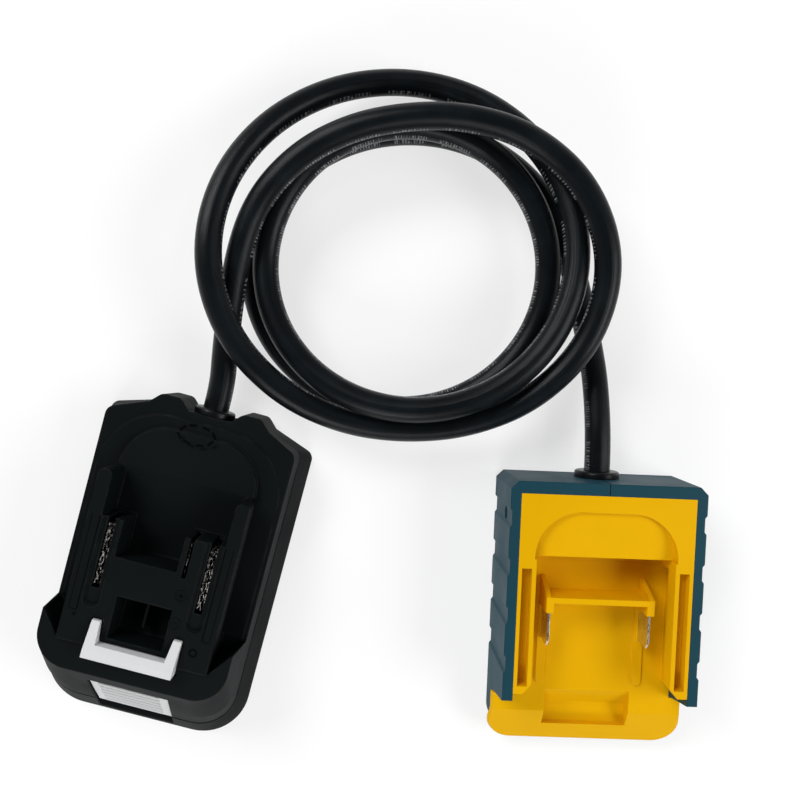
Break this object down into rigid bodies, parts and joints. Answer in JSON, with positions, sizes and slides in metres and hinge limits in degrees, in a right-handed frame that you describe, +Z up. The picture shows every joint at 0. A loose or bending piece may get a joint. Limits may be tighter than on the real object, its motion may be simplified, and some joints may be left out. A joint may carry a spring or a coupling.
{
  "type": "tool battery extension cable",
  "caption": "Cordless tool battery extension: a dummy slide pack and a slide battery receiver joined by a coiled round cable.",
  "frame": {"origin": "midway between the two housings' outer sides, on the surface that they rest on, measured without the free cable", "axes": "+Z up, +X from the dummy pack to the receiver, +Y towards the coiled cable"},
  "size_m": [0.2553, 0.2638, 0.0412],
  "materials": {
    "black_shell": "satin",
    "teal_shell": "satin",
    "yellow_plate": "satin",
    "latch_white": "satin",
    "cable_jacket": "satin",
    "gland_rubber": "matt",
    "contact_metal": "plated",
    "screw_steel": "zinc plated",
    "spring_steel": "plain",
    "inner_plastic": "matt",
    "lead_red": "satin",
    "lead_black": "satin"
  },
  "bodies": {
    "housings": {"plug_bottom_shell": "black_shell", "plug_top_shell": "black_shell", "contact_positive": "contact_metal", "contact_negative": "contact_metal", "contact_signal": "contact_metal", "contact_carrier": "inner_plastic", "carrier_screws": "screw_steel", "latch_springs": "spring_steel", "plug_grommet": "gland_rubber", "plug_cable_clamp": "inner_plastic", "plug_clamp_screws": "screw_steel", "plug_shell_screws": "screw_steel", "plug_cable_tail": "cable_jacket", "plug_lead_positive": "lead_red", "plug_lead_negative": "lead_black", "receiver_right_shell": "teal_shell", "receiver_left_shell": "teal_shell", "slide_plate": "yellow_plate", "blade_positive": "contact_metal", "blade_negative": "contact_metal", "terminal_bridge": "yellow_plate", "receiver_grommet": "gland_rubber", "receiver_cable_clamp": "inner_plastic", "receiver_clamp_screws": "screw_steel", "receiver_base_screws": "screw_steel", "receiver_side_screw": "screw_steel", "receiver_cable_tail": "cable_jacket", "receiver_lead_positive": "lead_red", "receiver_lead_negative": "lead_black", "cable_coil": "cable_jacket", "cable_plug_end": "cable_jacket", "cable_receiver_end": "cable_jacket"},
    "latch": {"latch": "latch_white"}
  },
  "joints": [
    {"name": "latch_press", "type": "slide", "parent": "housings", "child": "latch", "axis": [0, 0, -1], "range_m": [0, 0.0045], "stiffness_N_per_m": 900, "springref_m": -0.003, "deforming": ["latch_springs"]}
  ]
}
